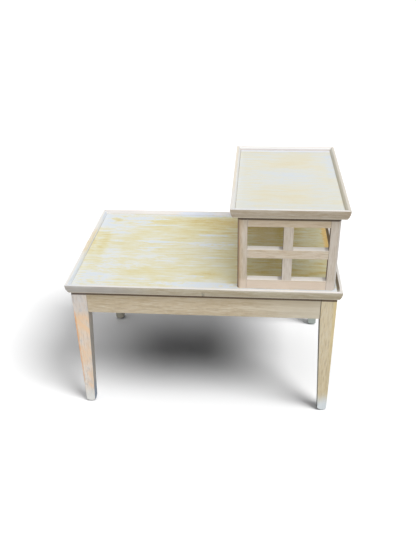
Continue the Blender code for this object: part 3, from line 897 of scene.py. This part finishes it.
def left_leg_finish():
    """Left legs: grey lime worn through to peach wood in soft patches, white at the front foot, with painted
    shade on the inner face and painted shade and grime below the apron.
    """
    low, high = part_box("leg_front_left")
    wood = LimedOak("limed_leg_left", 2, screen(240, 225, 210), screen(252, 242, 232))
    x, y, z = wood.parts(wood.grain)
    slant = wood.node("ShaderNodeCombineXYZ", {}, {"X": x + 0.6 * z, "Y": y, "Z": z})
    rubbed = wood.noise((1, 1, 0.3), scale=60, detail=4.0, roughness=0.65, place=slant)
    cloud = wood.noise((1, 1, 0.5), scale=28)
    mist = wood.noise((1, 1, 0.5), scale=80, detail=3.0, roughness=0.6)
    wood.paint(0.5 * wood.step(mist, 0.5, 0.62), screen(206, 204, 204))
    upper = wood.band(wood.z, 0.25, 0.295, fade=0.025)
    middle = wood.band(wood.z, 0.155, 0.19, fade=0.03)
    lower = wood.band(wood.z, 0.058, 0.105, fade=0.025) * wood.step(wood.x, low.x + 0.0055, low.x + 0.0195)
    worn = (upper + 0.8 * middle + 0.8 * lower) * wood.step(rubbed, 0.28, 0.62)
    thin = wood.step(cloud, 0.42, 0.7) * wood.band(wood.z, 0.075, 0.275, fade=0.04)
    wood.paint(0.8 * worn + 0.45 * thin, screen(255, 221, 184))
    wood.paint(0.35 * wood.step(wood.z, 0.295, 0.325), screen(214, 206, 198))
    wood.paint(0.5 * wood.step(wood.z, 0.305, 0.335) * wood.step(rubbed, 0.42, 0.68), screen(222, 226, 234))
    arris = wood.step(wood.x, low.x + 0.006, low.x + 0.002) * wood.step(wood.y, low.y + 0.012, low.y + 0.005)
    orange = arris * wood.band(wood.z, 0.095, 0.295, fade=0.03) * wood.step(cloud, 0.36, 0.56)
    wood.paint(0.85 * orange, screen(244, 182, 126))
    wood.whiten_foot(0.056, 0.014, rubbed, screen(246, 247, 243))
    # painted shade on the inner face of the front leg, bluish near the foot
    inner_shade = wood.mix(wood.step(wood.z, 0.225, 0.325), screen(182, 178, 170), screen(208, 198, 182))
    inner_shade = wood.mix(wood.step(wood.z, 0.095, 0.035), inner_shade, screen(128, 148, 172))
    wood.paint(0.9 * wood.facing(0, 0.6, 0.95) * wood.front_half(), inner_shade)
    # painted shade and grime below the apron
    wood.darken_under(high.z, APRON_SHADE_AND_GRIME, SHADE_AND_GRIME)
    return wood.close()


def right_leg_finish():
    """Right legs: yellow tan, yellower along the outer edge, with lime left on the front foot, painted shade
    on the inner face and painted shade and grime below the apron.
    """
    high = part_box("leg_front_right")[1]
    wood = LimedOak("limed_leg_right", 2, screen(218, 200, 160), screen(234, 219, 186))
    edge = wood.step(wood.x, high.x - 0.0115, high.x - 0.0025)
    wood.paint(0.7 * edge * wood.step(wood.figure, 0.4, 0.6), screen(238, 215, 150))
    wood.whiten_foot(0.068, 0.016, wood.figure, screen(238, 248, 255))
    wood.paint(0.7 * wood.back_half() * wood.step(wood.z, 0.09, 0.06), screen(200, 215, 213))
    # painted shade on the inner face of the front leg, darker towards the top
    inner_shade = wood.mix(wood.step(wood.z, 0.125, 0.265), screen(128, 126, 120), screen(66, 62, 54))
    wood.paint(0.9 * wood.facing(0, -0.6, -0.95) * wood.front_half(), inner_shade)
    # painted shade and grime below the apron
    wood.darken_under(high.z, APRON_SHADE_AND_GRIME, SHADE_AND_GRIME)
    return wood.close()


def wear_long_rims(wood, level, surface, top, slope):
    """Front and back strips: a stain round the crack, a pinkish back, painted highlights along the front, and
    the back slope with a painted bluish reflection and painted light on the lower rim, and a line on the
    upper rim.
    """
    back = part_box(level + "_rim_back")[1].y
    wood.paint(0.8 * top * wood.step(wood.y, back - 0.006, back - 0.001), screen(232, 216, 209))
    inside = slope * wood.facing(1, -0.3, -0.6)
    front = wood.front_half()
    if level == "lower":
        stain = wood.band(wood.x, CRACK_X - 0.001, CRACK_X + 0.004, fade=0.002)
        stain = stain * wood.step(wood.z, surface + 0.001, surface - 0.007)
        wood.paint(0.45 * stain * front, screen(136, 130, 112))
        # painted highlight along the top of the front face, on its right half
        rubbed = wood.step(wood.x, 0.0, 0.12) * wood.step(wood.z, surface + 0.001, surface + 0.007)
        wood.paint(0.5 * rubbed * front, screen(240, 234, 222))
        wood.paint(0.8 * top * front * wood.step(wood.x, 0.0, 0.1), screen(254, 250, 246))
        wood.paint(0.7 * top * front * wood.step(wood.x, -0.30, -0.345), screen(226, 232, 238))
        wood.paint(0.7 * inside, screen(240, 233, 230))
        wood.paint(0.8 * inside * wood.step(wood.x, -0.19, -0.27), screen(230, 225, 221))
        # painted reflection: bluish on the back slope, near the middle
        wood.paint(0.8 * inside * wood.step(wood.x, -0.125, -0.09), screen(230, 238, 254))
        # painted light on the back slope where the tray shades it
        wood.paint(0.8 * inside * wood.step(wood.x, -0.02, 0.02), screen(253, 250, 251))
    else:
        line = wood.band(wood.z, surface + 0.001, surface + 0.0035, fade=0.001)
        wood.paint(0.9 * inside * line, screen(214, 206, 204))
        # painted highlight: bluish along the front top, towards the left
        wood.paint(0.5 * top * front * wood.step(wood.x, 0.25, 0.12), screen(230, 236, 246))


def wear_short_rims(wood, level, surface, top, slope):
    """Left and right strips: peach wood where the left one is worn, painted shade on the right one's slope,
    and on the tray's right rim its top too.
    """
    left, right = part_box(level + "_rim_left")[0].x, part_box(level + "_rim_right")[1].x
    worn = wood.step(wood.noise(EVEN, scale=34, detail=3.0, roughness=0.6), 0.46, 0.60)
    edge = worn * wood.step(wood.x, left + 0.006, left + 0.002)
    on_left = wood.step(wood.x, left + 0.010, left + 0.006)
    inside = slope * wood.facing(0, -0.4, -0.7)
    if level == "lower":
        wood.paint(0.5 * edge * wood.band(wood.y, -0.05, 0.085, fade=0.02), WORN_PEACH)
        rubbed = wood.band(wood.y, -0.035, 0.06, fade=0.04) * on_left
        wood.paint(rubbed * (0.5 + 0.4 * worn), screen(238, 219, 180))
        left_slope = slope * wood.facing(0, 0.4, 0.7)
        cool = wood.step(wood.y, -0.06, -0.12) + wood.step(wood.y, 0.15, 0.20)
        wood.paint(0.75 * cool * left_slope, screen(237, 245, 255))
        warm = left_slope * wood.band(wood.y, -0.02, 0.085, fade=0.04)
        wood.paint(0.75 * warm * wood.step(wood.z, surface + 0.002, surface + 0.005), screen(242, 226, 190))
        # painted shade on the right rim's inner slope
        wood.paint(0.9 * inside * wood.step(wood.y, -0.232, -0.205), screen(120, 100, 62))
    else:
        wood.paint(0.15 * edge, WORN_PEACH)
        wood.paint(0.6 * top * on_left, screen(231, 229, 224))
        wood.paint(0.6 * top * on_left * wood.step(wood.y, -0.14, -0.07), screen(238, 225, 200))
        # painted shade on the right rim's top flat and inner slope
        wood.paint(0.9 * top * wood.step(wood.x, right - 0.010, right - 0.006), screen(217, 210, 196))
        wood.paint(0.9 * inside, screen(219, 211, 190))
        wood.paint(0.6 * inside * wood.step(wood.y, 0.12, 0.18), screen(214, 214, 208))
        wood.paint(0.7 * inside * wood.step(wood.z, surface + 0.0045, surface + 0.002), screen(207, 198, 176))


def rim_finish(level, axis):
    """Rim strip round a board: greyish tan outside, lightened at the foot of its face as painted light, thick
    lime on top and inside, a dark joint line.
    """
    wood = LimedOak(f"limed_{level}_rim_{'xy'[axis]}", axis, *RIM_TAN[level])
    greyed = wood.limed(screen(184, 178, 174), screen(208, 208, 209))
    wood.paint(0.75 * wood.step(wood.x, -0.10, -0.26), greyed)
    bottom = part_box(level + "_rim_front")[0].z
    # painted light: the foot of the outer face lightened where it is shaded
    wood.paint(0.7 * wood.step(wood.z, bottom + 0.006, bottom + 0.001), screen(234, 222, 199))
    wood.whiten_upward(screen(244, 241, 236))
    top = wood.facing(2, 0.7, 0.85)
    slope = wood.facing(2, 0.3, 0.42) * wood.facing(2, 0.85, 0.7)
    wood.paint(slope, screen(247, 246, 243))
    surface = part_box(level + "_top_board")[1].z
    joint = slope * wood.step(wood.z, surface + 0.0018, surface + 0.0012)
    wood.paint(0.35 * joint * wood.step(wood.fibre, 0.36, 0.46), screen(140, 120, 100))
    wear = (wear_long_rims, wear_short_rims)[axis]
    wear(wood, level, surface, top, slope)
    return wood.close()


def lattice_finish(name, axis):
    """Lattice bars: tan, paler at the bottom, orange spots on the left, thick lime on what looks up, painted
    shade under the tray, on the left edge and in the reveals, and a painted highlight on the right edge.
    """
    wood = LimedOak(name, axis, screen(210, 191, 162), screen(229, 214, 194))
    low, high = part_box("front_lattice_stile_left")
    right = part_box("front_lattice_stile_right")[1].x
    wood.paint(0.8 * wood.step(wood.z, low.z + 0.032, low.z + 0.018), screen(238, 221, 204))
    # painted shade: darker towards the top, under the tray
    wood.paint(0.35 * wood.step(wood.z, high.z - 0.04, high.z - 0.01), screen(190, 166, 128))
    # painted shade on the left stile's rounded outer edge
    wood.paint(0.75 * wood.step(wood.x, low.x + 0.010, low.x + 0.002), screen(194, 160, 118))
    spots = wood.step(wood.noise((1, 1, 0.5), scale=90), 0.52, 0.62)
    wood.paint(0.8 * wood.step(wood.x, low.x + 0.007, low.x + 0.003) * spots, screen(226, 176, 122))
    # painted highlight along the right stile's outer edge
    wood.paint(0.7 * wood.step(wood.x, right - 0.006, right - 0.002), screen(236, 230, 220))
    pale = wood.band(wood.x, low.x + 0.017, low.x + 0.024, fade=0.008)
    wood.paint(0.2 * pale * wood.step(wood.z, low.z + 0.018, low.z + 0.04), screen(214, 213, 214))
    if axis == 2:
        wood.paint(0.3 * wood.step(wood.x, low.x + 0.05, low.x + 0.08), screen(206, 206, 208))
    # painted shade in the reveals and on faces turned to the left
    reveal = wood.facing(0, -0.6, -0.95) * wood.step(wood.x, low.x + 0.004, low.x + 0.006)
    wood.paint(0.85 * reveal, screen(108, 88, 58))
    wood.paint(0.75 * wood.facing(0, -0.4, -0.9), screen(112, 86, 76))
    wood.whiten_upward(screen(255, 250, 243))
    for upright in ("front_lattice_muntin", "front_lattice_stile_right"):
        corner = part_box(upright)[0].x
        shaded = wood.facing(2, 0.6, 0.9) * wood.band(wood.x, corner - 0.006, corner, fade=0.006)
        wood.paint(0.4 * shaded, screen(128, 112, 96))
    # painted shade and grime below the tray
    wood.darken_under(high.z, LATTICE_SHADE_AND_GRIME, screen(62, 44, 20))
    return wood.close()


class VarnishedTop(Oak):
    """A board's face: yellowed varnish and whitewash in ragged straight streaks."""

    def __init__(self, name, marks, scale, level):
        super().__init__(name, 0)
        streak = self.noise(drawn_out(0, 0.07), scale=170, detail=3.0, roughness=0.6)
        mottle = self.noise(drawn_out(0, 0.22), scale=95, detail=4.0, roughness=0.65)
        broad = self.noise(drawn_out(0, 0.5), scale=24, detail=3.0, roughness=0.55)
        ragged = self.noise(drawn_out(0, 0.3), scale=90, detail=3.0, output="Color")
        torn = self.node("ShaderNodeVectorMath", {"operation": "MULTIPLY_ADD"}, {
            "Vector": ragged, "Vector_001": (*TEAR_REACH, 0), "Vector_002": self.place})
        amber = level + 0.8 * (streak - 0.5) + 0.7 * (mottle - 0.5) + 0.5 * (broad - 0.5)
        specks = self.noise(drawn_out(0, 0.35), scale=200, detail=3.0, roughness=0.6)
        broken = 0.5 + self.step(specks, 0.40, 0.60)
        for x, y, reach_x, reach_y, amount in marks:
            middle = (x + TEAR_REACH[0] / 2, y + TEAR_REACH[1] / 2)  # noise is a half on average
            white = amount < 0
            mark = self.patch(torn, middle, (reach_x, reach_y), MARK_FIRM if white else 0.0)
            amber = amber + amount * (mark * broken if white else mark)
        self.amber = amber
        self.colour = self.ramp(amber, scale)

    def close(self):
        self.paint(0.3 * self.pore, screen(236, 236, 230))
        self.leave_bare(self.facing(2, -0.4, -0.7))
        return self.done(roughness=0.52 - 0.12 * self.amber, height=self.fibre - 0.6 * self.pore, bump=0.0002)


def lower_top_finish():
    """Lower board, orange along the worn edge behind the lattice."""
    wood = VarnishedTop("limed_lower_top", LOWER_MARKS, LOWER_SCALE, level=0.56)
    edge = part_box("front_lattice_stile_right")[1].x
    behind = wood.step(wood.x, edge - 0.012, edge - 0.002) * wood.step(wood.y, -0.10, -0.02)
    wood.paint(0.7 * behind, screen(232, 184, 70))
    return wood.close()


def upper_top_finish():
    """Tray's board, with lime left in the corner along the back rim."""
    wood = VarnishedTop("limed_upper_top", UPPER_MARKS, UPPER_SCALE, level=0.5)
    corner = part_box("upper_rim_back")[0].y
    wood.paint(0.85 * wood.band(wood.y, corner - 0.010, corner - 0.003, fade=0.003), screen(238, 240, 248))
    return wood.close()


def raw_wood_finish():
    """Unfinished hardwood of the corner blocks and dowels."""
    wood = Oak("raw_wood", 2)
    wood.colour = wood.ramp(0.6 * wood.figure + 0.4 * wood.fibre, (
        (0.3, screen(150, 112, 72)), (0.55, screen(184, 146, 100)), (0.8, screen(204, 170, 124))))
    wood.paint(0.5 * wood.pore, screen(110, 78, 48))
    return wood.done(roughness=0.6 + 0.15 * wood.fibre, height=wood.fibre - 0.6 * wood.pore, bump=0.0003)


def steel_finish():
    """Plain steel, tarnished in fine spots."""
    steel = Finish("dulled_steel")
    tarnish = steel.noise(EVEN, scale=700, detail=4.0, roughness=0.6)
    steel.colour = steel.ramp(tarnish, ((0.3, screen(120, 110, 98)), (0.7, screen(182, 178, 170))))
    steel.feed(steel.shader, {"Metallic": 1.0})
    return steel.done(roughness=0.3 + 0.35 * tarnish, height=tarnish, bump=0.00008)


# Camera, light and floor

def seen_directly(wiring):
    """1 for rays that show the backdrop itself, straight or in a mirror or glass."""
    rays = [wiring.node("ShaderNodeLightPath", {}, {}, name)
            for name in ("Is Camera Ray", "Is Glossy Ray", "Is Transmission Ray")]
    straight = rays[0].maths("MAXIMUM", rays[0], rays[1])
    return straight.maths("MAXIMUM", straight, rays[2])


def set_camera():
    """The photograph's camera, and colours shown as they are."""
    data = bpy.data.cameras.new("camera")
    data.sensor_width = SENSOR_WIDTH
    data.lens = FOCAL_PIXELS / max(IMAGE_SIZE) * SENSOR_WIDTH
    camera = bpy.data.objects.new("camera", data)
    bpy.context.scene.collection.objects.link(camera)
    turn = Matrix.Rotation(CAMERA_YAW, 4, "Z") @ Matrix.Rotation(math.pi / 2 - CAMERA_PITCH, 4, "X")
    camera.matrix_world = Matrix.Translation(CAMERA_PLACE) @ turn @ Matrix.Rotation(CAMERA_ROLL, 4, "Z")
    bpy.context.scene.camera = camera
    bpy.context.scene.view_settings.view_transform = "Standard"


def set_lamp(name, lights, direction, spread, level, floor):
    """A distant lamp that lights either the floor alone or all but the floor."""
    data = bpy.data.lights.new(name, "SUN")
    data.energy = math.pi * level
    data.angle = math.radians(spread)
    lamp = bpy.data.objects.new(name, data)
    lamp.rotation_euler = Vector(direction).to_track_quat("Z", "Y").to_euler()
    bpy.context.scene.collection.objects.link(lamp)
    lit = bpy.data.collections.new(name + "_lights")
    lit.objects.link(floor)
    lit.collection_objects[0].light_linking.link_state = "INCLUDE" if lights == "floor" else "EXCLUDE"
    lamp.light_linking.receiver_collection = lit


def set_light(floor):
    """The lamps, and a dome that is white where it is seen and dim where it lights."""
    for name, lights, direction, spread, level in LAMPS:
        set_lamp(name, lights, direction, spread, level, floor)
    world = bpy.data.worlds.new("dome")
    bpy.context.scene.world = world
    world.use_nodes = True
    dome = Wiring(world.node_tree)
    colour = dome.mix(seen_directly(dome), DOME_LIGHT, (1, 1, 1, 1))
    dome.feed(world.node_tree.nodes["Background"], {"Color": colour, "Strength": 1.0})


def set_floor():
    """A floor that is white where it is seen and throws back only some of the light."""
    deselect()
    bpy.ops.mesh.primitive_plane_add(size=FLOOR_SIZE, location=(0, 0, 0))
    floor = bpy.context.object
    floor.name = "floor"
    finish = bpy.data.materials.new("white_floor")
    finish.use_nodes = True
    coat = Wiring(finish.node_tree)
    white = (FLOOR_SEEN, FLOOR_SEEN, FLOOR_SEEN, 1)
    grey = (FLOOR_BOUNCE, FLOOR_BOUNCE, FLOOR_BOUNCE, 1)
    coat.feed(finish.node_tree.nodes["Principled BSDF"], {
        "Base Color": coat.mix(seen_directly(coat), grey, white),
        "Roughness": 1.0, "Specular IOR Level": 0.0})
    floor.data.materials.append(finish)
    return floor


set_camera()
set_light(set_floor())

apron_finishes = [apron_finish("limed_apron_long", 0), apron_finish("limed_apron_short", 1)]
leg_finishes = {"left": left_leg_finish(), "right": right_leg_finish()}
lattice_finishes = {0: lattice_finish("limed_rail", 0), 2: lattice_finish("limed_upright", 2)}
raw_wood = raw_wood_finish()

settle(model_board("lower_top_board"), "limed_top", lower_top_finish(), "lower_top_board")
settle(model_board("upper_top_board"), "limed_top", upper_top_finish(), "upper_top_board")
for level in ("lower", "upper"):
    make_rims(level, [rim_finish(level, 0), rim_finish(level, 1)])
make_aprons(apron_finishes)
make_legs(leg_finishes)
make_lattices(lattice_finishes)
make_screws(steel_finish())
for node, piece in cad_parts.items():
    if node.startswith("corner_block") or "dowel" in node:
        piece.material_slots[0].material = raw_wood
